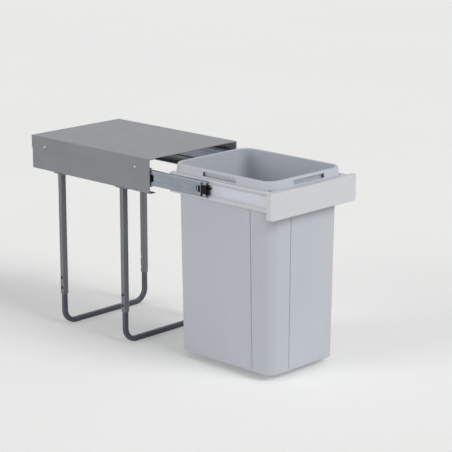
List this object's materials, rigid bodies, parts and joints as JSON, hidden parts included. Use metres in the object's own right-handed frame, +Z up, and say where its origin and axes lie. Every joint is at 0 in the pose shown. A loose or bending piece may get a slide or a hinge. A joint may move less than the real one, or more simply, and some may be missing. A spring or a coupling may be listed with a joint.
{
  "type": "pull out bin frame",
  "caption": "Pull-out frame for a kitchen cabinet: a steel housing on floor brackets, ball bearing slides, a frame with a front panel and a lift-out waste bin.",
  "frame": {"origin": "centre of the four floor screw holes, on the cabinet floor", "axes": "+Z up, +Y into the cabinet, the way the frame slides in; +X to the right, seen from the front"},
  "size_m": [0.2948, 0.792, 0.467],
  "materials": {
    "cover_paint": "satin",
    "leg_paint": "satin",
    "bracket_paint": "satin",
    "frame_paint": "satin",
    "panel_paint": "satin",
    "bin_plastic": "satin",
    "slide_zinc": "satin",
    "screw_steel": "satin",
    "ball_steel": "polished",
    "black_plastic": "satin"
  },
  "bodies": {
    "stand": {"top_cover": "cover_paint", "side_panel_left": "cover_paint", "side_panel_right": "cover_paint", "rear_brace": "cover_paint", "cover_screws": "screw_steel", "front_leg_left": "leg_paint", "front_leg_right": "leg_paint", "rear_leg_left": "leg_paint", "rear_leg_right": "leg_paint", "front_floor_bracket": "bracket_paint", "rear_floor_bracket": "bracket_paint", "leg_screws": "screw_steel", "leg_rivets": "screw_steel", "slide_rivets": "screw_steel", "outer_member_left": "slide_zinc", "outer_member_right": "slide_zinc", "closing_bumper_left": "black_plastic", "closing_bumper_right": "black_plastic"},
    "bin_frame": {"side_rail_left": "frame_paint", "side_rail_right": "frame_paint", "front_crossbar": "frame_paint", "rear_crossbar": "frame_paint", "inner_rivets": "screw_steel", "front_panel": "panel_paint", "panel_screws": "screw_steel", "inner_member_left": "slide_zinc", "inner_member_right": "slide_zinc", "lever_pin_left": "screw_steel", "lever_pin_right": "screw_steel"},
    "bin": {"bin": "bin_plastic"},
    "middle_left": {"middle_member_left": "slide_zinc", "end_cap_left": "black_plastic"},
    "outer_cage_left": {"outer_cage_left": "slide_zinc", "outer_balls_left": "ball_steel"},
    "inner_cage_left": {"inner_cage_left": "black_plastic", "inner_balls_left": "ball_steel"},
    "lever_left": {"release_lever_left": "black_plastic"},
    "middle_right": {"middle_member_right": "slide_zinc", "end_cap_right": "black_plastic"},
    "outer_cage_right": {"outer_cage_right": "slide_zinc", "outer_balls_right": "ball_steel"},
    "inner_cage_right": {"inner_cage_right": "black_plastic", "inner_balls_right": "ball_steel"},
    "lever_right": {"release_lever_right": "black_plastic"}
  },
  "joints": [
    {"name": "frame_pull", "type": "slide", "parent": "stand", "child": "bin_frame", "axis": [0, 1, 0], "range_m": [0, 0.362]},
    {"name": "bin_lift", "type": "slide", "parent": "bin_frame", "child": "bin", "axis": [0, 0, 1], "range_m": [0, 0.46]},
    {"name": "middle_slide_left", "type": "slide", "parent": "stand", "child": "middle_left", "axis": [0, 1, 0], "range_m": [0, 0.181]},
    {"name": "outer_cage_slide_left", "type": "slide", "parent": "stand", "child": "outer_cage_left", "axis": [0, 1, 0], "range_m": [0, 0.0905]},
    {"name": "inner_cage_slide_left", "type": "slide", "parent": "stand", "child": "inner_cage_left", "axis": [0, 1, 0], "range_m": [0, 0.2715]},
    {"name": "lever_turn_left", "type": "hinge", "parent": "bin_frame", "child": "lever_left", "pos_m": [-0.1342, -0.3606, 0.4225], "axis": [1, 0, 0], "range_deg": [0, 8], "stiffness_Nm_per_rad": 0.05, "springref_deg": -2.86},
    {"name": "middle_slide_right", "type": "slide", "parent": "stand", "child": "middle_right", "axis": [0, 1, 0], "range_m": [0, 0.181]},
    {"name": "outer_cage_slide_right", "type": "slide", "parent": "stand", "child": "outer_cage_right", "axis": [0, 1, 0], "range_m": [0, 0.0905]},
    {"name": "inner_cage_slide_right", "type": "slide", "parent": "stand", "child": "inner_cage_right", "axis": [0, 1, 0], "range_m": [0, 0.2715]},
    {"name": "lever_turn_right", "type": "hinge", "parent": "bin_frame", "child": "lever_right", "pos_m": [0.1342, -0.3606, 0.4225], "axis": [1, 0, 0], "range_deg": [0, 8], "stiffness_Nm_per_rad": 0.05, "springref_deg": -2.86}
  ],
  "couplings": [
    {"joint": "middle_slide_left", "follows": "frame_pull", "ratio": 0.5},
    {"joint": "outer_cage_slide_left", "follows": "frame_pull", "ratio": 0.25},
    {"joint": "inner_cage_slide_left", "follows": "frame_pull", "ratio": 0.75},
    {"joint": "middle_slide_right", "follows": "frame_pull", "ratio": 0.5},
    {"joint": "outer_cage_slide_right", "follows": "frame_pull", "ratio": 0.25},
    {"joint": "inner_cage_slide_right", "follows": "frame_pull", "ratio": 0.75}
  ]
}
